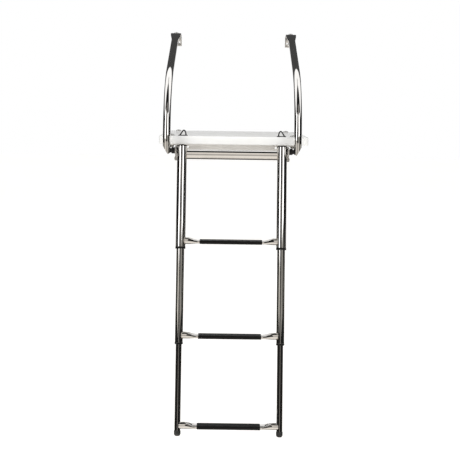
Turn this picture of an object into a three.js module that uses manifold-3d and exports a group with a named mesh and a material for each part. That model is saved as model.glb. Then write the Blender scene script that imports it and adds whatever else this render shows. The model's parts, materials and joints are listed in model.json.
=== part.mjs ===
// Boat boarding ladder: a transom platform with two grab rails and a telescoping three-rung ladder
// that hangs from the platform's front and folds up over it.
//
// Frame, in millimetres: +X to the right as seen from the water, +Y towards the boat, +Z up. The plane
// Y = 0 is the transom, and the origin is the centre of the transom angle's back face.
import * as THREE from 'three';
import { mergeVertices } from 'three/addons/utils/BufferGeometryUtils.js';
import Module from 'manifold-3d';

const wasm = await Module();
wasm.setup();

// ---------------------------------------------------------------- driving dimensions

const GAP = 0.3; // clearance left between neighbouring pieces
const WALL = 1.5; // wall of every stainless tube
const ROUND_SIDES = 24; // shared by all coaxial pieces, so that their facets line up

const PLATFORM = {
  width: 509, centre: 5, front: -440, rear: -8, under: 23, thick: 28, corner: 16, edge: 2.5,
};
const PLATFORM_TOP = PLATFORM.under + PLATFORM.thick;

const PIVOT = { y: -490, z: 5 }; // axis of the bolts that carry the ladder and the rails
const ARM = { inner: 184.6, web: 5, flange: 35, flangeThick: 4, bottom: -18, noseFront: 20 };
const ANGLE = { height: 46, depth: 38, thick: 4, holeRadius: 4, holeX: 173, holeZ: [8, -13] };

const LADDER_HALF_SPACING = 167; // ladder tube axes are at this X on each side
const LEAN = THREE.MathUtils.degToRad(12.6); // the deployed ladder's foot stands out from the boat
const OUTER = { radius: 15.875, top: -14, bottom: 321 }; // tops and bottoms are measured down from the pivot
const MIDDLE = { radius: 12.7, top: 293.7, bottom: 636 };
const LOWER = { radius: 9.525, top: 609.7, bottom: 929 };
const CAP_RIM = 17.2; // radius of the rim that a tube cap rests on the tube's end
const CROSS_TUBE = { radius: 15.875, down: 11.5, behind: 9, reach: 156 };
const RUNG = { radius: 11, halfWidth: 14.5, halfThick: 4.5, drop: 2.5, roundEnd: 143, flatStart: 108 };
const RUNG_DOWN = { upper: 301, middle: 612.5, lower: 906 };
const TREAD = { length: 207, width: 32.4, thick: 12.4, corner: 4.4, ribs: 7, groove: 0.8 };

const RAIL = {
  x: 218.5, radius: 12.7, below: 13, straight: 25.5, bend: 270, slope: THREE.MathUtils.degToRad(26),
  endBend: 45, endFlat: 26, endY: -6, tabHalfWidth: 19.5, tabHalfThick: 2.5,
};
// The rail's lower end is cut to a point by two planes that rise from its tip, inwards and outwards.
const RAIL_TIP = {
  x: 214.5, below: 12.5, outwards: THREE.MathUtils.degToRad(59), inwards: THREE.MathUtils.degToRad(29),
};
const BRACKET = { width: 39, height: 41, depth: 36, thick: 3, boltY: -19 };

// The bolt's head lies inside the rail's end, seated this far inwards of the rail's axis.
const PIVOT_BOLT = { radius: 5, headRadius: 6.9, headHeight: 5, seat: 8.4 };
const SPACER = { radius: 10.5, shoulder: 202, neck: 7.2, saddle: 3 };
const DECK_BOLT = { x: 207, radius: 4, headRadius: 9.5, headHeight: 4.5, nutRadius: 7.5, nutHeight: 6.5 };
const DECK_BOLT_Y = { front: -412, rear: -42 };
const STOP_PIN = { radius: 4, down: 24, inner: 160 };
const PAD_EYE = { x: 168, y: -424, wire: 2.2, baseLength: 32, baseWidth: 13, base: 2 };
// The bow of a lashing eye, as [outwards, up] from the middle of its foot.
const PAD_EYE_BOW = [[-10, 1.3], [-9.4, 9], [-6.8, 15.6], [-3, 17.8], [0.6, 15.8], [5.2, 9], [9.6, 1.3]];

// ---------------------------------------------------------------- materials

function finish(color, metalness, roughness) {
  return new THREE.MeshStandardMaterial({ color, metalness, roughness });
}

const STEEL = finish(0xc9c7c2, 1.0, 0.12);
const FASTENER = finish(0xb9b8b4, 1.0, 0.25);
const GELCOAT = finish(0xf1f1ec, 0.0, 0.3);
const NYLON = finish(0x141414, 0.0, 0.45);
const RUBBER = finish(0x1b1b1c, 0.0, 0.75);

// ---------------------------------------------------------------- solids

// A closed three.js geometry becomes a manifold solid that can be cut and joined.
function solid(geometry) {
  const bare = geometry.index ? geometry.toNonIndexed() : geometry.clone();
  for (const name of Object.keys(bare.attributes)) {
    if (name !== 'position') bare.deleteAttribute(name);
  }
  const merged = mergeVertices(bare, 1e-4);
  const corners = merged.index.array;
  const triangles = [];
  for (let i = 0; i < corners.length; i += 3) {
    const [a, b, c] = [corners[i], corners[i + 1], corners[i + 2]];
    if (a !== b && b !== c && c !== a) triangles.push(a, b, c);
  }
  return new wasm.Manifold(new wasm.Mesh({
    numProp: 3,
    vertProperties: new Float32Array(merged.attributes.position.array),
    triVerts: new Uint32Array(triangles),
  }));
}

function geometryOf(manifold) {
  const mesh = manifold.getMesh();
  const geometry = new THREE.BufferGeometry();
  geometry.setAttribute('position', new THREE.BufferAttribute(new Float32Array(mesh.vertProperties), 3));
  geometry.setIndex(new THREE.BufferAttribute(new Uint32Array(mesh.triVerts), 1));
  geometry.computeVertexNormals();
  return geometry;
}

function cut(geometry, ...tools) {
  let body = solid(geometry);
  for (const tool of tools) body = body.subtract(solid(tool));
  return geometryOf(body);
}

function join(geometry, ...others) {
  let body = solid(geometry);
  for (const other of others) body = body.add(solid(other));
  return geometryOf(body);
}

function box(x0, x1, y0, y1, z0, z1) {
  const geometry = new THREE.BoxGeometry(Math.abs(x1 - x0), y1 - y0, z1 - z0);
  return geometry.translate((x0 + x1) / 2, (y0 + y1) / 2, (z0 + z1) / 2);
}

// A plain cylinder along X, Y or Z, from one coordinate to another, centred on the other two.
function rod(axis, from, to, radius, centre, sides = 20) {
  const geometry = new THREE.CylinderGeometry(radius, radius, Math.abs(to - from), sides);
  if (axis === 'x') geometry.rotateZ(Math.PI / 2);
  if (axis === 'z') geometry.rotateX(Math.PI / 2);
  const middle = (from + to) / 2;
  if (axis === 'x') return geometry.translate(middle, centre[0], centre[1]);
  if (axis === 'y') return geometry.translate(centre[0], middle, centre[1]);
  return geometry.translate(centre[0], centre[1], middle);
}

// A body of revolution about Z from [radius, z] corners, listed anticlockwise with the radius across.
function turned(corners, sides = ROUND_SIDES) {
  const profile = corners.map(([r, z]) => new THREE.Vector2(r, z));
  return new THREE.LatheGeometry(profile, sides).rotateX(Math.PI / 2);
}

// A ring of revolution: the profile closes on itself.
function turnedRing(corners, sides = ROUND_SIDES) {
  return turned([...corners, corners[0]], sides);
}

function tube(radius, z0, z1) {
  const inner = radius - WALL;
  return turnedRing([[inner, z0], [radius, z0], [radius, z1], [inner, z1]]);
}

// One corner of a flattened tube's section: two half circles joined by flats. A round tube is the case
// where the half width equals the half thickness.
function sectionPoint(halfWidth, halfThick, angle) {
  const across = (halfWidth - halfThick) * Math.sign(Math.cos(angle)) + halfThick * Math.cos(angle);
  return [across, halfThick * Math.sin(angle)];
}

// A thin-walled tube through a row of stations. Each station gives its centre, its two section
// directions and its half sizes, and the tube is open at both ends.
function shapedTube(stations, sides = 14) {
  const ringAt = (station, wall) => {
    const ring = [];
    for (let i = 0; i < sides; i += 1) {
      const angle = ((i + 0.5) / sides) * 2 * Math.PI;
      const [across, up] = sectionPoint(station.halfWidth - wall, station.halfThick - wall, angle);
      ring.push(station.centre.clone()
        .addScaledVector(station.across, across)
        .addScaledVector(station.up, up));
    }
    return ring;
  };
  const outside = stations.map((station) => ringAt(station, 0));
  const inside = stations.map((station) => ringAt(station, WALL)).reverse();
  const rings = [...outside, ...inside];
  const positions = rings.flat().flatMap((point) => point.toArray());
  const triangles = [];
  for (let i = 0; i < rings.length; i += 1) {
    const here = i * sides;
    const next = ((i + 1) % rings.length) * sides;
    for (let j = 0; j < sides; j += 1) {
      const k = (j + 1) % sides;
      triangles.push(here + j, here + k, next + j);
      triangles.push(here + k, next + k, next + j);
    }
  }
  const geometry = new THREE.BufferGeometry();
  geometry.setAttribute('position', new THREE.Float32BufferAttribute(positions, 3));
  geometry.setIndex(triangles);
  return geometry;
}

function smooth(t) {
  const u = THREE.MathUtils.clamp(t, 0, 1);
  return u * u * (3 - 2 * u);
}

const assembly = new THREE.Group();

function add(name, geometry, material, group = assembly) {
  const mesh = new THREE.Mesh(geometry, material);
  mesh.name = name;
  group.add(mesh);
  return mesh;
}

const SIDES = [{ word: 'left', sign: -1 }, { word: 'right', sign: 1 }];

// ---------------------------------------------------------------- fasteners

// A domed head and a shank on one axis. The head's seat is at z = 0 and the shank runs down from it.
function domedBolt(shankRadius, length, headRadius, headHeight) {
  const corners = [[0, -length], [shankRadius, -length], [shankRadius, 0], [headRadius, 0]];
  const steps = 4;
  for (let i = 1; i < steps; i += 1) {
    const angle = (i / steps) * (Math.PI / 2);
    corners.push([headRadius * Math.cos(angle), headHeight * Math.sin(angle)]);
  }
  corners.push([0, headHeight]);
  return turned(corners, 20);
}

function hexBolt(shankRadius, length, headRadius, headHeight) {
  const head = rod('z', 0, headHeight, headRadius, [0, 0], 6);
  return join(head, rod('z', -length, 0.01, shankRadius, [0, 0], 20));
}

function hexNut(boreRadius, radius, height) {
  return cut(rod('z', -height, 0, radius, [0, 0], 6), rod('z', -height - 1, 1, boreRadius, [0, 0], 20));
}

// ---------------------------------------------------------------- platform and its frame

function roundedRectangle(x0, x1, y0, y1, radius) {
  const shape = new THREE.Shape();
  shape.absarc(x1 - radius, y0 + radius, radius, -Math.PI / 2, 0);
  shape.absarc(x1 - radius, y1 - radius, radius, 0, Math.PI / 2);
  shape.absarc(x0 + radius, y1 - radius, radius, Math.PI / 2, Math.PI);
  shape.absarc(x0 + radius, y0 + radius, radius, Math.PI, 1.5 * Math.PI);
  return shape;
}

function platformSlab() {
  const inset = PLATFORM.edge;
  const half = PLATFORM.width / 2 - inset;
  const outline = roundedRectangle(
    PLATFORM.centre - half, PLATFORM.centre + half,
    PLATFORM.front + inset, PLATFORM.rear - inset, PLATFORM.corner - inset);
  const slab = new THREE.ExtrudeGeometry(outline, {
    depth: PLATFORM.thick - 2 * inset,
    bevelSize: inset,
    bevelThickness: inset,
    bevelSegments: 2,
    curveSegments: 4,
  });
  slab.translate(0, 0, PLATFORM.under + inset);
  const holes = [];
  for (const { sign } of SIDES) {
    for (const y of Object.values(DECK_BOLT_Y)) {
      const centre = [sign * DECK_BOLT.x, y];
      holes.push(rod('z', PLATFORM.under - 5, PLATFORM_TOP + 5, DECK_BOLT.radius + GAP, centre, 12));
    }
  }
  return cut(slab, ...holes);
}

// The stop pin sits behind the ladder tube, a little below the pivot, square to the leaning tube.
function stopPinCentre() {
  const behind = OUTER.radius + GAP + STOP_PIN.radius;
  const y = PIVOT.y - STOP_PIN.down * Math.sin(LEAN) + behind * Math.cos(LEAN);
  const z = PIVOT.z - STOP_PIN.down * Math.cos(LEAN) - behind * Math.sin(LEAN);
  return [y, z];
}

// A side arm is a flat bar on edge. Its rear runs to the transom, and its nose carries the pivot bolt
// and the stop pin in front of the platform.
function sideArm(sign) {
  const top = PLATFORM.under - GAP;
  const [pinY, pinZ] = stopPinCentre();
  const tip = STOP_PIN.radius + 3;
  const nose = PIVOT.y - ARM.noseFront;
  const outline = new THREE.Shape();
  outline.moveTo(-1, top);
  outline.lineTo(nose + 10, top);
  outline.absarc(nose + 10, top - 10, 10, Math.PI / 2, Math.PI);
  outline.lineTo(nose, PIVOT.z - 8);
  outline.absarc(pinY, pinZ, tip, 1.2 * Math.PI, 1.75 * Math.PI);
  outline.lineTo(pinY + 40, ARM.bottom);
  outline.lineTo(-1, ARM.bottom);
  outline.closePath();
  const bar = new THREE.ExtrudeGeometry(outline, { depth: ARM.web, bevelEnabled: false, curveSegments: 8 });
  bar.rotateY(Math.PI / 2);
  bar.rotateX(Math.PI / 2);
  const x0 = sign > 0 ? ARM.inner : -ARM.inner - ARM.web;
  bar.translate(x0, 0, 0);
  const flangeFrom = sign * (ARM.inner + ARM.web - 1);
  const flangeTo = sign * (ARM.inner + ARM.web + ARM.flange);
  const underside = top - ARM.flangeThick;
  const flange = box(flangeFrom, flangeTo, PLATFORM.front + 8, PLATFORM.rear - 4, underside, top);
  const arm = join(bar, flange);
  const holes = [
    rod('x', x0 - 1, x0 + ARM.web + 1, PIVOT_BOLT.radius + GAP, [PIVOT.y, PIVOT.z]),
    rod('x', x0 - 1, x0 + ARM.web + 1, STOP_PIN.radius + GAP, [pinY, pinZ], 16),
  ];
  for (const y of Object.values(DECK_BOLT_Y)) {
    holes.push(rod('z', top - 10, top + 5, DECK_BOLT.radius + GAP, [sign * DECK_BOLT.x, y], 12));
  }
  return cut(arm, ...holes);
}

// The transom angle lies between the arms' rear ends and is bolted to the boat.
function transomAngle() {
  const half = ARM.inner - GAP;
  const top = PLATFORM.under - GAP;
  const back = box(-half, half, -ANGLE.thick, 0, top - ANGLE.height + GAP, top);
  const shelf = box(-half, half, -ANGLE.depth, -ANGLE.thick / 2, top - ANGLE.thick, top);
  const holes = [];
  for (const { sign } of SIDES) {
    for (const z of ANGLE.holeZ) {
      holes.push(rod('y', -10, 5, ANGLE.holeRadius, [sign * ANGLE.holeX, z], 16));
    }
  }
  return cut(join(back, shelf), ...holes);
}

function buildPlatform() {
  add('platform', platformSlab(), GELCOAT);
  add('transom_angle', transomAngle(), STEEL);
  const under = PLATFORM.under - GAP - ARM.flangeThick;
  for (const { word, sign } of SIDES) {
    add(`side_arm_${word}`, sideArm(sign), STEEL);
    for (const [place, y] of Object.entries(DECK_BOLT_Y)) {
      const length = PLATFORM.thick + ARM.flangeThick + 2 * GAP + DECK_BOLT.nutHeight + 2;
      const bolt = domedBolt(DECK_BOLT.radius, length, DECK_BOLT.headRadius, DECK_BOLT.headHeight);
      bolt.translate(sign * DECK_BOLT.x, y, PLATFORM_TOP + GAP);
      add(`deck_bolt_${place}_${word}`, bolt, FASTENER);
      const nut = hexNut(DECK_BOLT.radius + GAP, DECK_BOLT.nutRadius, DECK_BOLT.nutHeight);
      nut.translate(sign * DECK_BOLT.x, y, under - GAP);
      add(`deck_nut_${place}_${word}`, nut, FASTENER);
    }
    const [pinY, pinZ] = stopPinCentre();
    const pinEnd = ARM.inner + ARM.web + GAP;
    const pin = domedBolt(STOP_PIN.radius, pinEnd - STOP_PIN.inner, 7, 3.5);
    pin.rotateY(Math.PI / 2);
    pin.translate(pinEnd, 0, 0);
    if (sign < 0) pin.rotateZ(Math.PI);
    pin.translate(0, pinY, pinZ);
    add(`stop_pin_${word}`, pin, FASTENER);
    add(`pad_eye_${word}`, padEye(sign), NYLON);
  }
}

// An eye for the lashing that holds the folded ladder: a moulded loop on an oval base. Its outer leg is
// splayed, so that a line pulls straight along it.
function padEye(sign) {
  const points = PAD_EYE_BOW.map(([out, up]) => new THREE.Vector3(sign * out, 0, up));
  const path = new THREE.CatmullRomCurve3(points);
  const section = new THREE.Shape().absarc(0, 0, PAD_EYE.wire, 0, 2 * Math.PI);
  const wire = new THREE.ExtrudeGeometry(section, { steps: 16, extrudePath: path, curveSegments: 4 });
  const radius = PAD_EYE.baseWidth / 2;
  const half = PAD_EYE.baseLength / 2;
  const outline = roundedRectangle(-half, half, -radius, radius, radius - 0.01);
  const base = new THREE.ExtrudeGeometry(outline, {
    depth: PAD_EYE.base,
    bevelEnabled: false,
    curveSegments: 5,
  });
  const eye = join(base, wire);
  return eye.translate(sign * PAD_EYE.x, PAD_EYE.y, PLATFORM_TOP + GAP);
}

// ---------------------------------------------------------------- grab rails

// The rail's centre line lies in an upright plane: it rises from the pivot bolt, bends over towards
// the boat, climbs at a steady slope and levels out on its bracket. Each leg is straight or an arc.
function railPath() {
  const start = new THREE.Vector2(PIVOT.y, PIVOT.z - RAIL.below);
  const turn = Math.PI / 2 - RAIL.slope;
  const bendStart = new THREE.Vector2(PIVOT.y, PIVOT.z + RAIL.straight);
  const bendEnd = new THREE.Vector2(
    bendStart.x + RAIL.bend * (1 - Math.cos(turn)), bendStart.y + RAIL.bend * Math.sin(turn));
  const endRun = RAIL.endFlat + RAIL.endBend * Math.sin(RAIL.slope);
  const climbRun = RAIL.endY - endRun - bendEnd.x;
  const climbEnd = new THREE.Vector2(RAIL.endY - endRun, bendEnd.y + climbRun * Math.tan(RAIL.slope));
  const flatStart = new THREE.Vector2(
    RAIL.endY - RAIL.endFlat, climbEnd.y + RAIL.endBend * (1 - Math.cos(RAIL.slope)));
  const stations = [];
  const push = (y, z, slope) => stations.push({ y, z, slope });
  const steps = (count, from, to, point) => {
    for (let i = from; i <= to; i += 1) point(i / count);
  };
  steps(5, 0, 5, (t) => push(start.x, start.y + t * (RAIL.straight + RAIL.below), Math.PI / 2));
  steps(7, 1, 7, (t) => {
    const angle = t * turn;
    const y = bendStart.x + RAIL.bend * (1 - Math.cos(angle));
    push(y, bendStart.y + RAIL.bend * Math.sin(angle), Math.PI / 2 - angle);
  });
  for (const t of [0.8, 0.87, 0.94, 1]) {
    const y = THREE.MathUtils.lerp(bendEnd.x, climbEnd.x, t);
    const z = THREE.MathUtils.lerp(bendEnd.y, climbEnd.y, t);
    push(y, z, RAIL.slope);
  }
  steps(3, 1, 3, (t) => {
    const slope = RAIL.slope * (1 - t);
    const y = flatStart.x - RAIL.endBend * Math.sin(slope);
    push(y, flatStart.y - RAIL.endBend * (1 - Math.cos(slope)), slope);
  });
  push(RAIL.endY, flatStart.y, 0);
  return stations;
}

const RAIL_STATIONS = railPath();
const RAIL_TAB_Z = RAIL_STATIONS[RAIL_STATIONS.length - 1].z;

// The upper end is pressed flat from above. The lower end is pointed: most of its outer side is cut away,
// which leaves room to reach the pivot bolt's head inside the tube.
function railTube(sign) {
  const crushLength = 62;
  const endTab = RAIL.endY - RAIL.endFlat - 8;
  const stations = RAIL_STATIONS.map(({ y, z, slope }) => {
    const tangent = new THREE.Vector3(0, Math.cos(slope), Math.sin(slope));
    const across = new THREE.Vector3(1, 0, 0);
    const crush = smooth(1 - (endTab - y) / crushLength);
    const halfWidth = THREE.MathUtils.lerp(RAIL.radius, RAIL.tabHalfWidth, crush);
    const halfThick = THREE.MathUtils.lerp(RAIL.radius, RAIL.tabHalfThick, crush);
    const centre = new THREE.Vector3(sign * RAIL.x, y, z);
    const up = new THREE.Vector3().crossVectors(tangent, across);
    return { centre, across, up, halfWidth, halfThick };
  });
  const innerWall = sign * (RAIL.x - RAIL.radius);
  const pivotHole = rod('x', innerWall - 6, innerWall + 6, PIVOT_BOLT.radius + GAP, [PIVOT.y, PIVOT.z]);
  const tipCuts = [-RAIL_TIP.outwards, RAIL_TIP.inwards].map((angle) => {
    const below = box(-60, 60, -30, 30, -60, 0).rotateY(sign * angle);
    return below.translate(sign * RAIL_TIP.x, PIVOT.y, PIVOT.z - RAIL_TIP.below);
  });
  const bracketHole = rod('z', RAIL_TAB_Z - 20, RAIL_TAB_Z + 20, DECK_BOLT.radius + GAP,
    [sign * RAIL.x, BRACKET.boltY], 16);
  return cut(shapedTube(stations), pivotHole, ...tipCuts, bracketHole);
}

// The transom bracket is a short angle: the rail lies on its shelf, and its back is screwed to the boat.
function transomBracket(sign) {
  const x0 = sign * RAIL.x - BRACKET.width / 2;
  const x1 = x0 + BRACKET.width;
  const top = RAIL_TAB_Z - RAIL.tabHalfThick - GAP;
  const back = box(x0, x1, -BRACKET.thick, 0, top - BRACKET.height, top);
  const shelf = box(x0, x1, -BRACKET.depth, -BRACKET.thick / 2, top - BRACKET.thick, top);
  const holes = [rod('z', top - 10, top + 5, DECK_BOLT.radius + GAP, [sign * RAIL.x, BRACKET.boltY], 16)];
  for (const offset of [-11, 11]) {
    holes.push(rod('y', -10, 5, 3.2, [sign * RAIL.x + offset, top - 26], 16));
  }
  return cut(join(back, shelf), ...holes);
}

function buildRails() {
  const shelfUnder = RAIL_TAB_Z - RAIL.tabHalfThick - GAP - BRACKET.thick;
  const tabTop = RAIL_TAB_Z + RAIL.tabHalfThick;
  for (const { word, sign } of SIDES) {
    add(`grab_rail_${word}`, railTube(sign), STEEL);
    add(`transom_bracket_${word}`, transomBracket(sign), STEEL);
    const stack = tabTop - shelfUnder + 2 * GAP + 8;
    const bolt = domedBolt(DECK_BOLT.radius, stack, 8, 4.5);
    bolt.translate(sign * RAIL.x, BRACKET.boltY, tabTop + GAP);
    add(`bracket_bolt_${word}`, bolt, FASTENER);
    const nut = hexNut(DECK_BOLT.radius + GAP, 7.5, 6.5);
    nut.translate(sign * RAIL.x, BRACKET.boltY, shelfUnder - GAP);
    add(`bracket_nut_${word}`, nut, FASTENER);

    const armOuter = ARM.inner + ARM.web;
    const spacerEnd = RAIL.x - RAIL.radius + SPACER.saddle;
    const spacer = cut(
      join(
        rod('x', sign * (armOuter + GAP), sign * SPACER.shoulder, SPACER.radius, [PIVOT.y, PIVOT.z]),
        rod('x', sign * (SPACER.shoulder - 1), sign * spacerEnd, SPACER.neck, [PIVOT.y, PIVOT.z])),
      rod('x', sign * (armOuter - 5), sign * (spacerEnd + 5), PIVOT_BOLT.radius + GAP, [PIVOT.y, PIVOT.z]),
      rod('z', PIVOT.z - 30, PIVOT.z + 30, RAIL.radius + GAP, [sign * RAIL.x, PIVOT.y], 32));
    add(`rail_spacer_${word}`, spacer, NYLON);

    const headSeat = RAIL.x - PIVOT_BOLT.seat;
    const shankEnd = LADDER_HALF_SPACING - 8;
    const shank = headSeat - shankEnd;
    const pivotBolt = hexBolt(PIVOT_BOLT.radius, shank, PIVOT_BOLT.headRadius, PIVOT_BOLT.headHeight);
    pivotBolt.rotateY(Math.PI / 2);
    pivotBolt.translate(headSeat, 0, 0);
    if (sign < 0) pivotBolt.rotateZ(Math.PI);
    pivotBolt.translate(0, PIVOT.y, PIVOT.z);
    add(`pivot_bolt_${word}`, pivotBolt, FASTENER);

    const tubeOuter = LADDER_HALF_SPACING + OUTER.radius;
    const washer = cut(
      rod('x', sign * (tubeOuter + GAP), sign * (ARM.inner - GAP), 11, [PIVOT.y, PIVOT.z]),
      rod('x', sign * (tubeOuter - 5), sign * (ARM.inner + 5), PIVOT_BOLT.radius + GAP, [PIVOT.y, PIVOT.z]));
    add(`pivot_washer_${word}`, washer, NYLON);
  }
}

// ---------------------------------------------------------------- ladder

// The ladder is built hanging straight down from the pivot, along -Z, and then leant out.
const ladder = new THREE.Group();
ladder.position.set(0, PIVOT.y, PIVOT.z);
ladder.rotation.x = -LEAN;
assembly.add(ladder);

// A rung is round where it meets the ladder tubes and pressed flat under its tread. It is turned by
// the lean so that its flats are level when the ladder is deployed.
function rung(down, tubeRadius) {
  const half = LADDER_HALF_SPACING - tubeRadius + 6;
  const taper = [0, 0.25, 0.5, 0.75, 1];
  const places = [half, ...taper.map((t) => THREE.MathUtils.lerp(RUNG.roundEnd, RUNG.flatStart, t))];
  const xs = [...places.map((x) => -x), ...places.reverse()];
  const stations = xs.map((x) => {
    const flat = smooth((RUNG.roundEnd - Math.abs(x)) / (RUNG.roundEnd - RUNG.flatStart));
    return {
      centre: new THREE.Vector3(x, 0, -RUNG.drop * flat),
      across: new THREE.Vector3(0, 1, 0),
      up: new THREE.Vector3(0, 0, 1),
      halfWidth: THREE.MathUtils.lerp(RUNG.radius, RUNG.halfWidth, flat),
      halfThick: THREE.MathUtils.lerp(RUNG.radius, RUNG.halfThick, flat),
    };
  });
  const bar = shapedTube(stations).rotateX(LEAN).translate(0, 0, -down);
  const notches = SIDES.map(({ sign }) => rod('z', -down - 40, -down + 40, tubeRadius + 2 * GAP,
    [sign * LADDER_HALF_SPACING, 0], ROUND_SIDES));
  return cut(bar, ...notches);
}

// The tread is a ribbed sleeve around the rung's flat middle.
function tread(down) {
  const halfWidth = TREAD.width / 2;
  const halfThick = TREAD.thick / 2;
  const r = TREAD.corner;
  const outline = new THREE.Shape();
  outline.absarc(halfWidth - r, -halfThick + r, r, -Math.PI / 2, 0);
  outline.absarc(halfWidth - r, halfThick - r, r, 0, Math.PI / 2);
  const pitch = (TREAD.width - 2 * r) / TREAD.ribs;
  for (let i = 0; i < TREAD.ribs; i += 1) {
    const right = halfWidth - r - i * pitch;
    outline.lineTo(right - 0.6 * pitch, halfThick);
    outline.lineTo(right - 0.8 * pitch, halfThick - TREAD.groove);
    outline.lineTo(right - pitch, halfThick);
  }
  outline.absarc(-halfWidth + r, halfThick - r, r, Math.PI / 2, Math.PI);
  outline.absarc(-halfWidth + r, -halfThick + r, r, Math.PI, 1.5 * Math.PI);
  const flat = RUNG.halfWidth - RUNG.halfThick;
  const bore = new THREE.Path();
  bore.absarc(flat, 0, RUNG.halfThick + GAP, -Math.PI / 2, Math.PI / 2);
  bore.absarc(-flat, 0, RUNG.halfThick + GAP, Math.PI / 2, 1.5 * Math.PI);
  outline.holes.push(bore);
  const sleeve = new THREE.ExtrudeGeometry(outline, {
    depth: TREAD.length,
    bevelEnabled: false,
    curveSegments: 5,
  });
  sleeve.translate(0, 0, -TREAD.length / 2);
  sleeve.rotateY(Math.PI / 2);
  sleeve.rotateX(Math.PI / 2);
  return sleeve.translate(0, 0, -RUNG.drop).rotateX(LEAN).translate(0, 0, -down);
}

// A collar is pressed into the lower end of a tube and guides the next tube down.
function collar(host, guestRadius, lipHeight, spigot) {
  const bore = guestRadius + 0.2;
  const mouth = -host.bottom;
  return turnedRing([
    [bore, mouth - lipHeight], [host.radius + 0.9, mouth - lipHeight], [host.radius + 0.9, mouth - GAP],
    [host.radius - WALL - 0.15, mouth - GAP],
    [host.radius - WALL - 0.15, mouth + spigot],
    [bore, mouth + spigot],
  ]);
}

// A glide caps the upper end of a sliding tube and stops it against the collar below.
function glide(guest, hostRadius) {
  const top = -guest.top;
  const outer = hostRadius - WALL - 0.2;
  return turnedRing([
    [guest.radius + 0.15, top - 12], [outer, top - 12], [outer, top + 3],
    [guest.radius - WALL, top + 3], [guest.radius - WALL, top + GAP], [guest.radius + 0.15, top + GAP],
  ]);
}

// The plug in the outer tube's top has a domed cap, and its cross bore turns on the pivot bolt.
function tubeCap(sign) {
  const seat = -OUTER.top + GAP;
  const plug = turned([
    [0, -14], [OUTER.radius - WALL - 0.2, -14], [OUTER.radius - WALL - 0.2, seat], [CAP_RIM, seat],
    [CAP_RIM, seat + 2.2], [CAP_RIM - 0.9, seat + 3.2], [13, seat + 4], [6, seat + 4.4], [0, seat + 4.5],
  ]);
  return cut(plug, rod('x', -sign * 9, sign * 30, PIVOT_BOLT.radius + GAP, [0, 0]));
}

function footCap() {
  const top = -LOWER.bottom;
  return turned([
    [0, top - 12], [5.5, top - 11.6], [9, top - 9.6], [10.9, top - 6], [10.9, top + 6],
    [LOWER.radius + GAP, top + 6], [LOWER.radius + GAP, top - GAP], [0, top - GAP],
  ]);
}

function buildLadder() {
  for (const { word, sign } of SIDES) {
    const column = new THREE.Group();
    column.position.x = sign * LADDER_HALF_SPACING;
    ladder.add(column);
    const pivotHole = rod('x', 0, sign * 30, PIVOT_BOLT.radius + GAP, [0, 0]);
    add(`outer_tube_${word}`, cut(tube(OUTER.radius, -OUTER.bottom, -OUTER.top), pivotHole), STEEL, column);
    add(`tube_cap_${word}`, tubeCap(sign), NYLON, column);
    add(`upper_collar_${word}`, collar(OUTER, MIDDLE.radius, 7, 15), NYLON, column);
    add(`middle_tube_${word}`, tube(MIDDLE.radius, -MIDDLE.bottom, -MIDDLE.top), STEEL, column);
    add(`middle_glide_${word}`, glide(MIDDLE, OUTER.radius), NYLON, column);
    add(`middle_collar_${word}`, collar(MIDDLE, LOWER.radius, 6, 14), NYLON, column);
    add(`lower_tube_${word}`, tube(LOWER.radius, -LOWER.bottom, -LOWER.top), STEEL, column);
    add(`lower_glide_${word}`, glide(LOWER, MIDDLE.radius), NYLON, column);
    add(`foot_cap_${word}`, footCap(), RUBBER, column);
  }
  const bar = tube(CROSS_TUBE.radius, -CROSS_TUBE.reach, CROSS_TUBE.reach).rotateY(Math.PI / 2);
  bar.translate(0, CROSS_TUBE.behind, -CROSS_TUBE.down);
  // The cross tube lies a little behind the ladder tubes and is coped around their rear halves.
  const notches = SIDES.map(({ sign }) => rod('z', -70, 40, OUTER.radius + 2 * GAP,
    [sign * LADDER_HALF_SPACING, 0], ROUND_SIDES));
  add('cross_tube', cut(bar, ...notches), STEEL, ladder);
  const hosts = { upper: OUTER, middle: MIDDLE, lower: LOWER };
  for (const [word, host] of Object.entries(hosts)) {
    add(`${word}_rung`, rung(RUNG_DOWN[word], host.radius), STEEL, ladder);
    add(`${word}_tread`, tread(RUNG_DOWN[word]), RUBBER, ladder);
  }
}

buildPlatform();
buildRails();
buildLadder();

export default assembly;
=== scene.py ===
import json
import random
from math import atan2, copysign, cos, pi, radians, sin, sqrt, tan

import bmesh
import bpy
from mathutils import Matrix, Vector


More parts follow.
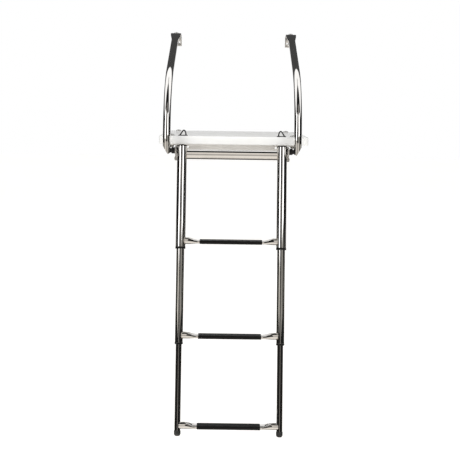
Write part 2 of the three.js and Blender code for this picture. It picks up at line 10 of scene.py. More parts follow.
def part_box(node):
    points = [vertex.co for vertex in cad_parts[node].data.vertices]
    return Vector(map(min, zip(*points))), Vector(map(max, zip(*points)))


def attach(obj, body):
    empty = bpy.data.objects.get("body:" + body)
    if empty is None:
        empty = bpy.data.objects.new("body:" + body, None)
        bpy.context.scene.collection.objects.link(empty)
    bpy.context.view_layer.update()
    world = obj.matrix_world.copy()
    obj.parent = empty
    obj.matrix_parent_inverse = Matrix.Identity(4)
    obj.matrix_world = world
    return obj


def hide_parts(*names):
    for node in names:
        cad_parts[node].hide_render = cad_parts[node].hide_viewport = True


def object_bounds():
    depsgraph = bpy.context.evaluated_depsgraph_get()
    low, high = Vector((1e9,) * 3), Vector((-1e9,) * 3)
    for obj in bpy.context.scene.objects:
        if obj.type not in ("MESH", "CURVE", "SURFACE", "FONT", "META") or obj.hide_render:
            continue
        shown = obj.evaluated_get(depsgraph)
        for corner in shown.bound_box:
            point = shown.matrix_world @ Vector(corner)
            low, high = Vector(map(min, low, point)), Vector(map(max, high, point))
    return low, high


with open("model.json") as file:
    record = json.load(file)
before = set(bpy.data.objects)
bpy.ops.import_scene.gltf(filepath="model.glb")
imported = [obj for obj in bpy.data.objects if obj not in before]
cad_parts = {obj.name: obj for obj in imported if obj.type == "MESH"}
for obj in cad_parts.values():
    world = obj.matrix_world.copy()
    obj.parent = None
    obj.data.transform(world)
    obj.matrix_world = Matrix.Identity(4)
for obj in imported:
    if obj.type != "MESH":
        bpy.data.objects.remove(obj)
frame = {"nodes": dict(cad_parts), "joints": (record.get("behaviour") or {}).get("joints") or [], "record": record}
CAD_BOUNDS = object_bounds()

MM = 0.001
GAP = 0.3  # clearance that the CAD model leaves between neighbouring pieces
WALL = 1.5  # wall of every stainless tube
TAU = 2 * pi
SIDES = {"left": -1, "right": 1}

# -------- places read from the frame

JOINTS = {joint["name"]: joint for joint in frame["joints"]}
BODIES = frame["record"]["behaviour"]["bodies"]

PIVOT = Vector(JOINTS["ladder_fold"]["pos_m"]) / MM
SLIDE_AXIS = Vector(JOINTS["middle_slide"]["axis"])
LEAN = atan2(SLIDE_AXIS.y, SLIDE_AXIS.z)
# The ladder's own frame: its origin is the pivot and -Z runs down along the leaning tubes.
LADDER = Matrix.Translation(PIVOT) @ Matrix.Rotation(-LEAN, 4, "X")


def box_mm(node):
    """Lowest and highest corner of a CAD node's box, in millimetres."""
    low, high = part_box(node)
    return low / MM, high / MM


def centre_mm(node):
    low, high = box_mm(node)
    return (low + high) / 2


def ladder_points(node):
    """The points of a CAD node in the ladder's own frame."""
    inverse = LADDER.inverted()
    return [inverse @ (vertex.co / MM) for vertex in frame["nodes"][node].data.vertices]


def heights(node):
    """Lowest and highest point of a CAD node along the ladder."""
    along = [point.z for point in ladder_points(node)]
    return min(along), max(along)


def half_width(node):
    low, high = box_mm(node)
    return (high.x - low.x) / 2


def sideways(node):
    """How far a node's near and far sides lie from the middle of the ladder, along X."""
    low, high = box_mm(node)
    return min(abs(low.x), abs(high.x)), max(abs(low.x), abs(high.x))


# -------- mesh building

SHARP_ANGLE = 35  # degrees; an edge that turns more than this is shaded sharp
WELD_DISTANCE = 1e-7  # metres
SHORTEST_SIDE = 0.1  # a straight side shorter than this needs no point of its own


def smooth_step(t):
    t = min(max(t, 0.0), 1.0)
    return t * t * (3 - 2 * t)


def mix(a, b, t):
    return a + (b - a) * t


def arc(start, end, steps):
    """Evenly spaced angles between two angles given in degrees, in radians."""
    return [radians(start + (end - start) * i / steps) for i in range(steps + 1)]


def circle(radius, z, count):
    angles = [TAU * i / count for i in range(count)]
    return [(radius * cos(angle), radius * sin(angle), z) for angle in angles]


def ring_around(point, side, other, radius, count):
    """A circle about a point, in the plane of two directions."""
    angles = [TAU * i / count for i in range(count)]
    return [tuple(point + (side * cos(a) + other * sin(a)) * radius) for a in angles]


def tangent_at(path, i):
    return (path[min(i + 1, len(path) - 1)] - path[max(i - 1, 0)]).normalized()


def placed(name, data):
    made = bpy.data.objects.new(name, data)
    bpy.context.scene.collection.objects.link(made)
    return made


def shade(data, sharp=SHARP_ANGLE):
    for polygon in data.polygons:
        polygon.use_smooth = True
    data.set_sharp_from_angle(angle=radians(sharp))


def solid(name, rings, matrix=None, sharp=SHARP_ANGLE, loop=False):
    """A closed body through rings of equal length, given in millimetres.

    The last ring is joined to the first, or else both ends are capped."""
    matrix = matrix or Matrix.Identity(4)
    count = len(rings[0])
    points = [tuple((matrix @ Vector(p)) * MM) for ring in rings for p in ring]
    faces = []
    for i in range(len(rings) if loop else len(rings) - 1):
        here, there = i * count, (i + 1) % len(rings) * count
        for j in range(count):
            k = (j + 1) % count
            faces.append((here + j, here + k, there + k, there + j))
    if not loop:
        faces += [tuple(range(count)), tuple(range(len(points) - count, len(points)))]
    data = bpy.data.meshes.new(name)
    data.from_pydata(points, [], faces)
    work = bmesh.new()
    work.from_mesh(data)
    bmesh.ops.remove_doubles(work, verts=work.verts, dist=WELD_DISTANCE)
    bmesh.ops.dissolve_degenerate(work, edges=work.edges, dist=WELD_DISTANCE)
    bmesh.ops.recalc_face_normals(work, faces=work.faces)
    work.to_mesh(data)
    work.free()
    shade(data, sharp)
    return placed(name, data)


def revolved(name, profile, matrix, segments=72):
    """A closed profile of (radius, z) points turned about the local Z axis."""
    return solid(name, [circle(radius, z, segments) for radius, z in profile], matrix, loop=True)


def rounded(corners, radius, steps=4):
    """A closed polygon with its corners rounded off. radius is one number, or one for each corner.

    A point a short way along each straight side keeps the side's own shading flat."""
    count = len(corners)
    radii = [radius] * count if isinstance(radius, (int, float)) else radius
    outline = []
    for i, corner in enumerate(corners):
        here = Vector(corner)
        if radii[i] <= 0:
            outline.append(tuple(here))
            continue
        before = Vector(corners[i - 1]) - here
        after = Vector(corners[(i + 1) % count]) - here
        half = before.angle(after) / 2
        nearly_half_way = 0.499 * min(before.length, after.length)
        reach = min(radii[i] / tan(half), nearly_half_way)
        start = here + before.normalized() * reach
        end = here + after.normalized() * reach
        leading = min(reach, (before.length - 2 * reach) / 3)
        trailing = min(reach, (after.length - 2 * reach) / 3)
        if leading > SHORTEST_SIDE:
            outline.append(tuple(start + before.normalized() * leading))
        for step in range(steps + 1):
            t = step / steps
            outline.append(tuple(start * (1 - t) ** 2 + here * 2 * t * (1 - t) + end * t * t))
        if trailing > SHORTEST_SIDE:
            outline.append(tuple(end + after.normalized() * trailing))
    return outline


def box_outline(x0, x1, y0, y1, radius, steps):
    """A rectangle with true round corners, anticlockwise."""
    outline = []
    for x, y, start in ((x1, y0, -90), (x1, y1, 0), (x0, y1, 90), (x0, y0, 180)):
        cx = x - radius if x == x1 else x + radius
        cy = y - radius if y == y1 else y + radius
        for angle in arc(start, start + 90, steps):
            outline.append((cx + radius * cos(angle), cy + radius * sin(angle)))
    return outline


def prism(name, outline, low, high, place):
    """A flat outline given a thickness. place turns (u, v, w) into a point of the frame."""
    rings = [[place(u, v, w) for u, v in outline] for w in (low, high)]
    return solid(name, rings)


def facing(direction, place):
    """A matrix whose Z axis points along direction, at place."""
    turn = Vector(direction).to_track_quat("Z", "Y").to_matrix().to_4x4()
    return Matrix.Translation(Vector(place)) @ turn


def cylinder_between(name, start, end, radius, segments=48):
    axis = Vector(end) - Vector(start)
    profile = [(0, 0), (radius, 0), (radius, axis.length), (0, axis.length)]
    return revolved(name, profile, facing(axis, start), segments)


def carve(piece, cutters=(), joined=(), bevel=0.0):
    """Cuts and joins plain solids into a piece, breaks its edges with a bevel and bakes the result."""
    for operation, others in (("UNION", joined), ("DIFFERENCE", cutters)):
        for other in others:
            step = piece.modifiers.new("solid", "BOOLEAN")
            step.operation = operation
            step.solver = "EXACT"
            step.object = other
    if bevel:
        edges = piece.modifiers.new("edges", "BEVEL")
        edges.width = bevel * MM
        edges.segments = 2
        edges.limit_method = "ANGLE"
        edges.angle_limit = radians(40)
        edges.use_clamp_overlap = True
    graph = bpy.context.evaluated_depsgraph_get()
    data = bpy.data.meshes.new_from_object(piece.evaluated_get(graph))
    piece.modifiers.clear()
    piece.data = data
    shade(data)
    for other in (*cutters, *joined):
        bpy.data.objects.remove(other)
    return piece


def merged(name, pieces):
    """Several meshes made into one object of separate closed shells."""
    work = bmesh.new()
    for piece in pieces:
        work.from_mesh(piece.data)
    data = bpy.data.meshes.new(name)
    work.to_mesh(data)
    work.free()
    shade(data)
    for piece in pieces:
        bpy.data.objects.remove(piece)
    return placed(name, data)


def body_of(node):
    return next(body for body, nodes in BODIES.items() if node in nodes)


def finished(piece, node, material):
    """The piece stands for a CAD node: it takes the material and moves with the node's body."""
    piece.data.materials.clear()
    piece.data.materials.append(material)
    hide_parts(node)
    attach(piece, body_of(node))


def dressing(piece, body, material):
    """A small extra piece with no CAD node of its own, such as a weld bead."""
    piece.data.materials.clear()
    piece.data.materials.append(material)
    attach(piece, body)


# -------- materials

MIX_A, MIX_B, MIX_RESULT = 6, 7, 2  # the colour sockets of a Mix node


class NodeTree:
    """Short names for the shader nodes that the materials and the studio are built from."""

    easing = "LINEAR"

    def node(self, kind, inputs=None, **settings):
        made = self.tree.nodes.new(kind)
        for key, value in settings.items():
            setattr(made, key, value)
        for key, value in (inputs or {}).items():
            if isinstance(value, bpy.types.NodeSocket):
                self.tree.links.new(value, made.inputs[key])
            else:
                made.inputs[key].default_value = value
        return made

    def math(self, operation, a, b=0.0):
        return self.node("ShaderNodeMath", {0: a, 1: b}, operation=operation).outputs[0]

    def ramp(self, value, low, high, to_low=0.0, to_high=1.0):
        inputs = {"Value": value, "From Min": low, "From Max": high, "To Min": to_low, "To Max": to_high}
        made = self.node("ShaderNodeMapRange", inputs, interpolation_type=self.easing)
        return made.outputs["Result"]

    def blend(self, factor, first, second):
        inputs = {"Factor": factor, MIX_A: (*first, 1.0), MIX_B: (*second, 1.0)}
        return self.node("ShaderNodeMix", inputs, data_type="RGBA").outputs[MIX_RESULT]


class Surface(NodeTree):
    """A node material built around one Principled shader, textured in object space."""

    def __init__(self, name):
        self.material = bpy.data.materials.new(name)
        self.material.use_nodes = True
        self.tree = self.material.node_tree
        self.shader = self.tree.nodes["Principled BSDF"]
        self.where = self.tree.nodes.new("ShaderNodeTexCoord").outputs["Object"]

    def set(self, **values):
        for key, value in values.items():
            self.shader.inputs[key.replace("_", " ")].default_value = value
        return self

    def stretched(self, scale, turn=(0, 0, 0)):
        inputs = {"Vector": self.where, "Scale": scale, "Rotation": turn}
        return self.node("ShaderNodeMapping", inputs).outputs[0]

    def noise(self, scale, detail, roughness, vector=None):
        inputs = {"Vector": vector or self.where, "Scale": scale, "Detail": detail, "Roughness": roughness}
        return self.node("ShaderNodeTexNoise", inputs).outputs["Fac"]

    def finish(self, colour, roughness=None, normal=None):
        """Links the textures to the shader and hands over the material."""
        textures = {"Base Color": colour, "Roughness": roughness, "Normal": normal}
        for name, output in textures.items():
            if output is not None:
                self.tree.links.new(output, self.shader.inputs[name])
        return self.material

    def bump(self, height, strength, distance, under=None):
        inputs = {"Height": height, "Strength": strength, "Distance": distance}
        if under is not None:
            inputs["Normal"] = under
        return self.node("ShaderNodeBump", inputs).outputs["Normal"]


def polished_stainless():
    """Mirror-polished tube: faint drawing lines along it, soft smudges and a few dull water marks."""
    s = Surface("polished_stainless").set(Metallic=1.0)
    smudge = s.ramp(s.noise(14.0, 5.0, 0.6), 0.42, 0.72)
    marks = s.ramp(s.noise(90.0, 2.0, 0.5), 0.66, 0.74)
    hairline = s.noise(1.0, 3.0, 0.6, s.stretched((2600.0, 2600.0, 60.0), (LEAN, 0.0, 0.0)))
    rough = s.math("ADD", s.ramp(smudge, 0.0, 1.0, 0.03, 0.06), s.math("MULTIPLY", marks, 0.05))
    rough = s.math("ADD", rough, s.math("MULTIPLY", hairline, 0.02))
    colour = s.blend(smudge, (0.80, 0.785, 0.765), (0.74, 0.725, 0.70))
    waviness = s.bump(s.noise(28.0, 2.0, 0.4), 0.05, 0.0008)
    return s.finish(colour, rough, s.bump(hairline, 0.05, 0.00005, waviness))


def satin_stainless():
    """Flat bar and sheet, linished along its length and dulled by handling."""
    s = Surface("satin_stainless").set(Metallic=1.0)
    grain = s.noise(1.0, 4.0, 0.65, s.stretched((900.0, 25.0, 900.0)))
    stain = s.ramp(s.noise(22.0, 5.0, 0.6), 0.40, 0.75)
    rough = s.math("ADD", s.ramp(grain, 0.3, 0.7, 0.16, 0.30), s.math("MULTIPLY", stain, 0.08))
    colour = s.blend(stain, (0.74, 0.73, 0.71), (0.64, 0.63, 0.60))
    return s.finish(colour, rough, s.bump(grain, 0.12, 0.0001))


def grained(name, grain, stain, colours, rough, relief, **settings):
    """A plain surface: stains in its colour, and a fine grain in its roughness and its relief."""
    s = Surface(name).set(**settings)
    texture = s.noise(*grain)
    colour = s.blend(s.ramp(s.noise(*stain[:3]), *stain[3:]), *colours)
    return s.finish(colour, s.ramp(texture, 0.3, 0.7, *rough), s.bump(texture, *relief))


def blasted_stainless():
    """Bead-blasted angle: pale, even and without clear reflections, with a few darker stains."""
    colours = (0.90, 0.885, 0.86), (0.80, 0.785, 0.76)
    return grained("blasted_stainless", (1500.0, 3.0, 0.6), (18.0, 5.0, 0.6, 0.45, 0.8), colours,
                   (0.50, 0.62), (0.15, 0.0001), Metallic=0.6)


def fastener_steel():
    """Bolts and nuts: turned and tumbled, with darker recesses."""
    colours = (0.72, 0.71, 0.69), (0.55, 0.54, 0.51)
    return grained("fastener_steel", (700.0, 4.0, 0.6), (120.0, 4.0, 0.6, 0.35, 0.7), colours,
                   (0.16, 0.32), (0.10, 0.0001), Metallic=1.0)


def weld_steel():
    """Weld beads: rippled, straw-coloured by heat and a little rougher than the tube."""
    s = Surface("weld_steel").set(Metallic=1.0)
    tint = s.ramp(s.noise(260.0, 3.0, 0.6), 0.35, 0.65)
    colour = s.blend(tint, (0.66, 0.63, 0.58), (0.50, 0.45, 0.38))
    rough = s.ramp(s.noise(900.0, 3.0, 0.6), 0.3, 0.7, 0.20, 0.38)
    return s.finish(colour, rough, s.bump(s.noise(1400.0, 2.0, 0.5), 0.2, 0.0001))


def gelcoat():
    """White gelcoat: glossy rims, and a fine moulded pebble where feet stand."""
    s = Surface("gelcoat").set(IOR=1.5, Coat_Weight=0.25, Coat_Roughness=0.08)
    low, high = box_mm("platform")
    margin = 26.0  # the rim without pebble
    fade = 3.0
    axes = s.node("ShaderNodeSeparateXYZ", {"Vector": s.where}).outputs
    inside = []
    for i in range(2):
        middle, half = (high[i] + low[i]) / 2, (high[i] - low[i]) / 2 - margin
        off = s.math("ABSOLUTE", s.math("SUBTRACT", axes[i], middle * MM))
        inside.append(s.ramp(off, half * MM, (half - fade) * MM))
    on_top = s.ramp(axes["Z"], (high.z - 1.0) * MM, (high.z - 0.3) * MM)
    standing = s.math("MULTIPLY", s.math("MULTIPLY", *inside), on_top)
    cells = s.node("ShaderNodeTexVoronoi", {"Vector": s.where, "Scale": 330.0, "Randomness": 0.8})
    pebble = s.math("MULTIPLY", s.ramp(cells.outputs["Distance"], 0.15, 0.55, 1.0, 0.0), standing)
    dust = s.ramp(s.noise(9.0, 6.0, 0.65), 0.45, 0.8)
    colour = s.blend(dust, (0.90, 0.90, 0.885), (0.845, 0.84, 0.815))
    rough = s.math("ADD", s.ramp(dust, 0.0, 1.0, 0.20, 0.30), s.math("MULTIPLY", standing, 0.25))
    orange_peel = s.bump(s.noise(160.0, 2.0, 0.4), 0.03, 0.0005)
    return s.finish(colour, rough, s.bump(pebble, 0.55, 0.0006, orange_peel))


def moulded(name, dark, light, rough_low, rough_high, grain_scale, grain_strength):
    """Black or dark grey moulded plastic or rubber with a fine grain, scuffed a little lighter in places. The
    feet's dark grey is partly a painted sheen on black plastic.
    """
    return grained(name, (grain_scale, 3.0, 0.6), (60.0, 6.0, 0.7, 0.48, 0.78), (dark, light),
                   (rough_low, rough_high), (grain_strength, 0.0002), IOR=1.45, Specular_IOR_Level=0.3)


STAINLESS = polished_stainless()
SATIN = satin_stainless()
BLASTED = blasted_stainless()
FASTENER = fastener_steel()
WELD = weld_steel()
GELCOAT = gelcoat()
NYLON = moulded("black_nylon", (0.005, 0.005, 0.005), (0.012, 0.012, 0.012), 0.30, 0.48, 900.0, 0.12)
RUBBER = moulded("tread_rubber", (0.002, 0.002, 0.002), (0.005, 0.005, 0.005), 0.26, 0.38, 1100.0, 0.08)
CAP_PLASTIC = moulded("cap_plastic", (0.004, 0.004, 0.005), (0.010, 0.010, 0.010), 0.16, 0.30, 700.0, 0.06)
# The feet are glossy black plastic. Their dark grey base is partly a painted sheen that stands in for the
# highlights on the gloss.
FOOT_PLASTIC_PAINTED_SHEEN = moulded("foot_plastic_painted_sheen", (0.03, 0.03, 0.029), (0.08, 0.079, 0.075), 0.10, 0.22, 700.0, 0.05)

# -------- fasteners

HEX_POINTS = 72
BOLT_RADIUS = 4.0
BOLT_HEAD = 4.5  # height of a domed head
NUT_BORE = 4.1


def hex_ring(across_flats, limit, z):
    """One level of a chamfered hexagon: the hexagon, held inside a circle of the limit radius."""
    ring = []
    for i in range(HEX_POINTS):
        angle = TAU * i / HEX_POINTS
        to_flat = (angle % (TAU / 6)) - TAU / 12
        radius = min(across_flats / 2 / cos(to_flat), limit)
        ring.append((radius * cos(angle), radius * sin(angle), z))
    return ring


def hex_body(name, across_flats, height, matrix, bore=0.0, both_ends=True):
    """A hexagon head or nut with chamfered corners. Its seat is at z = 0 and it stands up from it."""
    flat = across_flats / 2
    corner = flat / cos(TAU / 12)
    chamfer = (corner - flat) * 0.6
    face = flat * 0.97
    levels = [(face, 0.0), (corner, chamfer if both_ends else 0.05)]
    levels += [(corner, height - chamfer), (face, height)]
    rings = [hex_ring(across_flats, limit, z) for limit, z in levels]
    if bore:
        mouth = bore * 1.12
        hole = [(mouth, height), (bore, height - 0.5), (bore, 0.5), (mouth, 0.0)]
        rings += [circle(radius, z, HEX_POINTS) for radius, z in hole]
    return solid(name, rings, matrix, sharp=20, loop=bool(bore))


def dome_profile(shank, length, head, height, rim=0.8):
    """Profile of a domed bolt: seat at z = 0, head above it and shank below it."""
    profile = [(0, -length), (shank - 0.6, -length), (shank, -length + 0.6), (shank, -0.2), (head - 0.3, 0)]
    profile.append((head, 0.25))
    for angle in arc(0, 90, 10):
        profile.append((head * cos(angle), rim + (height - rim) * sin(angle)))
    return profile


def bolt_and_nut(bolt_node, bolt_name, nut_node, nut_name):
    """A domed bolt that points down, and the hexagon nut on its shank."""
    low, high = box_mm(bolt_node)
    centre = (low + high) / 2
    seat = high.z - BOLT_HEAD
    profile = dome_profile(BOLT_RADIUS, seat - low.z, half_width(bolt_node), BOLT_HEAD)
    bolt = revolved(bolt_name, profile, Matrix.Translation((centre.x, centre.y, seat)))
    finished(bolt, bolt_node, FASTENER)
    low, high = box_mm(nut_node)
    turn = facing((0, 0, -1), (centre.x, centre.y, high.z))
    nut = hex_body(nut_name, high.x - low.x, high.z - low.z, turn, bore=NUT_BORE)
    finished(nut, nut_node, FASTENER)


# -------- platform and frame

PLATFORM_CORNER = 16.0
PLATFORM_TOP_ROUND = 5.0
PLATFORM_UNDER_ROUND = 2.5


def platform():
    """A slab with round corners, and with its top and bottom edges rounded off."""
    low, high = box_mm("platform")
    r = PLATFORM_UNDER_ROUND
    levels = [(r * (1 - sin(a)), low.z + r * (1 - cos(a))) for a in arc(0, 90, 6)]
    r = PLATFORM_TOP_ROUND
    levels += [(r * (1 - cos(a)), high.z - r * (1 - sin(a))) for a in arc(0, 90, 8)]
    rings = []
    for inset, z in levels:
        outline = box_outline(
            low.x + inset, high.x - inset, low.y + inset, high.y - inset, PLATFORM_CORNER - inset, steps=12)
        rings.append([(x, y, z) for x, y in outline])
    finished(solid("platform_slab", rings), "platform", GELCOAT)


ARM_WEB = 5.0
ARM_FLANGE = 4.0
ARM_BOTTOM = -18.0
ARM_NOSE_ROUND = 10
ARM_NOSE_DROP = 8  # the nose's front edge runs down to this far below the pivot


def side_arm(word, sign):
    """A flat bar on edge with a flange under the platform, and a round lug about the stop pin."""
    low, high = box_mm(f"side_arm_{word}")
    nose, top = low.y, high.z
    pin = centre_mm(f"stop_pin_{word}")
    tip = pin.z - low.z
    round_y, round_z = nose + ARM_NOSE_ROUND, top - ARM_NOSE_ROUND
    outline = [(high.y, ARM_BOTTOM), (high.y, top)]
    for angle in arc(0, 90, 8):
        across, up = ARM_NOSE_ROUND * sin(angle), ARM_NOSE_ROUND * cos(angle)
        outline.append((round_y - across, round_z + up))
    outline.append((nose, PIVOT.z - ARM_NOSE_DROP))
    outline += [(pin.y + tip * cos(a), pin.z + tip * sin(a)) for a in arc(216, 315, 10)]
    outline.append((pin.y + 40, ARM_BOTTOM))
    inner, outer = sideways(f"side_arm_{word}")
    web = (sign * inner, sign * (inner + ARM_WEB))
    bar = prism(f"side_arm_plate_{word}", outline, *web, lambda u, v, w: (w, u, v))
    platform_low, platform_high = box_mm("platform")
    across = sorted((sign * (inner + 1), sign * outer))
    flange_outline = box_outline(*across, platform_low.y + 8, platform_high.y - 4, 0.4, steps=2)
    flange = prism("flange", flange_outline, top - ARM_FLANGE, top, lambda u, v, w: (u, v, w))
    finished(carve(bar, joined=[flange], bevel=0.6), f"side_arm_{word}", SATIN)


def bent_angle(name, node, thick):
    """Bent sheet in a node's box: a shelf that stands forward from the top of an upright back."""
    low, high = box_mm(node)
    bend = thick * 1.6
    outside = [(high.y, low.z), (high.y, high.z), (low.y, high.z)]
    inside = [(low.y, high.z - thick), (high.y - thick, high.z - thick), (high.y - thick, low.z)]
    radii = [0, bend, 0, 0, bend - thick * 0.9, 0]
    outline = rounded(outside + inside, radii, steps=6)
    return prism(name, outline, low.x, high.x, lambda u, v, w: (w, u, v))


def holes_through(places, radius):
    """Cutters along Y for bolt holes through an upright back, at places (x, z)."""
    return [cylinder_between("hole", (x, -20, z), (x, 20, z), radius) for x, z in places]


def transom_angle():
    places = [(sign * 173.0, z) for sign in SIDES.values() for z in (8.0, -13.0)]
    angle = bent_angle("transom_angle_plate", "transom_angle", 4.0)
    finished(carve(angle, cutters=holes_through(places, 4.0), bevel=0.5), "transom_angle", BLASTED)


PAD_EYE_BOW = [(-10, 1.3), (-9.4, 9), (-6.8, 15.6), (-3, 17.8), (0.6, 15.8), (5.2, 9), (9.6, 1.3)]
PAD_EYE_WIRE = 2.2
PAD_EYE_FOOT = 2.0  # thickness of the oval foot


def curve_through(points, steps):
    """A Catmull-Rom curve through points."""
    ends = [points[0] * 2 - points[1], *points, points[-1] * 2 - points[-2]]
    path = []
    for i in range(len(points) - 1):
        a, b, c, d = ends[i:i + 4]
        for j in range(steps):
            t = j / steps
            cubic = (3 * b - a - 3 * c + d) * t ** 3
            path.append(0.5 * (2 * b + (c - a) * t + (2 * a - 5 * b + 4 * c - d) * t ** 2 + cubic))
    return [*path, points[-1]]


def pad_eye(word, sign):
    """A lashing eye: a loop with a splayed outer leg, moulded on an oval foot."""
    low, high = box_mm(f"pad_eye_{word}")
    centre = (low + high) / 2
    half_depth = (high.y - low.y) / 2
    rings = []
    for inset, z in ((0.0, 0.0), (0.0, 1.2), (0.2, 1.7), (0.8, PAD_EYE_FOOT)):
        sides = (low.x + inset, high.x - inset, low.y + inset, high.y - inset)
        outline = box_outline(*sides, half_depth - inset - 0.01, steps=14)
        rings.append([(x, y, low.z + z) for x, y in outline])
    foot = solid("foot", rings)
    bow = [Vector((centre.x + sign * out, centre.y, low.z + up)) for out, up in PAD_EYE_BOW]
    wire = swept("wire", curve_through(bow, 7), PAD_EYE_WIRE, Vector((0, 1, 0)), sides=24)
    hidden, base, neck, height = PAD_EYE_WIRE - 0.5, PAD_EYE_WIRE + 1.6, PAD_EYE_WIRE + 0.2, 1.8
    profile = rounded([(hidden, 0), (base, 0), (neck, height), (hidden, height)], 0.5)
    collars = []
    for out in (PAD_EYE_BOW[0][0], PAD_EYE_BOW[-1][0]):
        place = Matrix.Translation((centre.x + sign * out, centre.y, low.z + PAD_EYE_FOOT - 0.3))
        collars.append(revolved("collar", profile, place, segments=32))
    finished(merged(f"pad_eye_loop_{word}", [foot, wire, *collars]), f"pad_eye_{word}", NYLON)


def swept(name, path, radius, flat_normal, sides):
    """A round wire along a path that stays in one plane."""
    rings = []
    for i, point in enumerate(path):
        side = tangent_at(path, i).cross(flat_normal).normalized()
        rings.append(ring_around(point, side, flat_normal, radius, sides))
    return solid(name, rings)


def stop_pin(word, sign):
    """A plain pin with a domed head on the arm's outer side."""
    low, high = box_mm(f"stop_pin_{word}")
    centre = (low + high) / 2
    inner, outer = sideways(f"stop_pin_{word}")
    head = 3.5
    seat = outer - head
    profile = dome_profile(BOLT_RADIUS, seat - inner, (high.y - low.y) / 2, head, rim=1.2)
    place = facing((sign, 0, 0), (sign * seat, centre.y, centre.z))
    finished(revolved(f"stop_pin_turned_{word}", profile, place), f"stop_pin_{word}", FASTENER)


# -------- grab rails

RAIL_RADIUS = 12.7
RAIL_BEND = 270.0  # radius of the bend, on the tube's axis
RAIL_SLOPE = radians(26)
RAIL_STRAIGHT = 25.5  # upright tube above the pivot bolt
RAIL_TIP = (-4.0, -12.5)  # the pointed lower end: outwards of the axis, and above the bolt
RAIL_TIP_OUTWARDS = radians(59)  # how steeply the cut end rises from its tip, on either side
RAIL_TIP_INWARDS = radians(29)
RAIL_END_FLAT = 26.0
RAIL_END_BEND = 45.0
TAB_HALF_WIDTH = 19.5
TAB_HALF_THICK = 2.5
CRUSH_LENGTH = 62.0  # run over which the round tube turns into the flat tab
BEND_STEPS, CLIMB_STEPS, END_BEND_STEPS, TAB_STEPS = 48, 48, 12, 8
RAIL_X = abs(centre_mm("grab_rail_left").x)


def rail_path(end_y):
    """Stations (y, z, slope) along the rail's axis: the bend, the climb and the level end."""
    turn = pi / 2 - RAIL_SLOPE
    bend_y = PIVOT.y + RAIL_BEND * (1 - cos(turn))
    bend_z = PIVOT.z + RAIL_STRAIGHT + RAIL_BEND * sin(turn)
    end_run = RAIL_END_FLAT + RAIL_END_BEND * sin(RAIL_SLOPE)
    climb_y = end_y - end_run
    climb_z = bend_z + (climb_y - bend_y) * tan(RAIL_SLOPE)
    flat_z = climb_z + RAIL_END_BEND * (1 - cos(RAIL_SLOPE))
    stations = []
    for i in range(BEND_STEPS + 1):
        angle = turn * i / BEND_STEPS
        y = PIVOT.y + RAIL_BEND * (1 - cos(angle))
        stations.append((y, PIVOT.z + RAIL_STRAIGHT + RAIL_BEND * sin(angle), pi / 2 - angle))
    for i in range(1, CLIMB_STEPS + 1):
        t = i / CLIMB_STEPS
        stations.append((mix(bend_y, climb_y, t), mix(bend_z, climb_z, t), RAIL_SLOPE))
    for i in range(1, END_BEND_STEPS + 1):
        slope = RAIL_SLOPE * (1 - i / END_BEND_STEPS)
        y = end_y - RAIL_END_FLAT - RAIL_END_BEND * sin(slope)
        stations.append((y, flat_z - RAIL_END_BEND * (1 - cos(slope)), slope))
    for i in range(1, TAB_STEPS + 1):
        stations.append((end_y - RAIL_END_FLAT * (1 - i / TAB_STEPS), flat_z, 0.0))
    return stations


def flattened_ring(centre, across, up, half_width, half_thick, sides=56):
    """The section of a tube pressed towards flat: two half circles joined by straight sides."""
    ring = []
    for i in range(sides):
        angle = TAU * (i + 0.5) / sides
        out = (half_width - half_thick) * copysign(1, cos(angle)) + half_thick * cos(angle)
        ring.append(tuple(centre + across * out + up * half_thick * sin(angle)))
    return ring


def grab_rail(word, sign):
    """A bent tube, pressed flat at its upper end and cut to a point at its lower end."""
    end_y = box_mm(f"grab_rail_{word}")[1].y
    tab_start = end_y - RAIL_END_FLAT - 8
    across = Vector((1, 0, 0))
    straight_steps = 8
    outside = []
    inside = []
    for wall, rings in ((0.0, outside), (WALL, inside)):
        radius = RAIL_RADIUS - wall
        foot = Vector((sign * RAIL_X, PIVOT.y, 0))
        round_ring = flattened_ring(foot, across, Vector((0, 1, 0)), radius, radius)
        for i in range(straight_steps):
            ring = []
            for x, y, _ in round_ring:
                off = abs(x) - RAIL_X - RAIL_TIP[0]
                rise = max(off * tan(RAIL_TIP_OUTWARDS), -off * tan(RAIL_TIP_INWARDS))
                low_z = PIVOT.z + RAIL_TIP[1] + rise
                ring.append((x, y, mix(low_z, PIVOT.z + RAIL_STRAIGHT, i / straight_steps)))
            rings.append(ring)
    for y, z, slope in rail_path(end_y):
        crush = smooth_step(1 - (tab_start - y) / CRUSH_LENGTH)
        half_wide = mix(RAIL_RADIUS, TAB_HALF_WIDTH, crush)
        half_thick = mix(RAIL_RADIUS, TAB_HALF_THICK, crush)
        up = Vector((0, cos(slope), sin(slope))).cross(across)
        centre = Vector((sign * RAIL_X, y, z))
        outside.append(flattened_ring(centre, across, up, half_wide, half_thick))
        inside.append(flattened_ring(centre, across, up, half_wide - WALL, half_thick - WALL))
    rail = solid(f"grab_rail_tube_{word}", outside + inside[::-1], sharp=40, loop=True)
    finished(rail, f"grab_rail_{word}", STAINLESS)


def transom_bracket(word):
    """A short angle with two holes in its back, and the bolt and nut that hold the rail on it."""
    node = f"transom_bracket_{word}"
    low, high = box_mm(node)
    middle = (low.x + high.x) / 2
    holes = holes_through([(middle + off, high.z - 26) for off in (-11, 11)], 3.2)
    plate = bent_angle(f"transom_bracket_plate_{word}", node, 3.0)
    finished(carve(plate, cutters=holes, bevel=0.5), node, SATIN)
    bolt, nut = "bracket_bolt", "bracket_nut"
    bolt_and_nut(f"{bolt}_{word}", f"{bolt}_dome_{word}", f"{nut}_{word}", f"{nut}_hex_{word}")


SPACER_SHOULDER = 202.0  # the spacer is thick up to this distance from the middle, then necks down
SPACER_NECK = 7.2
PIVOT_BORE = 5.3  # of the nylon parts on the pivot bolt
PIVOT_SHANK = 5
PIVOT_HEAD = 5.0  # height of the hexagon head
PIVOT_HEAD_CORNER = 6.9  # its radius over the corners


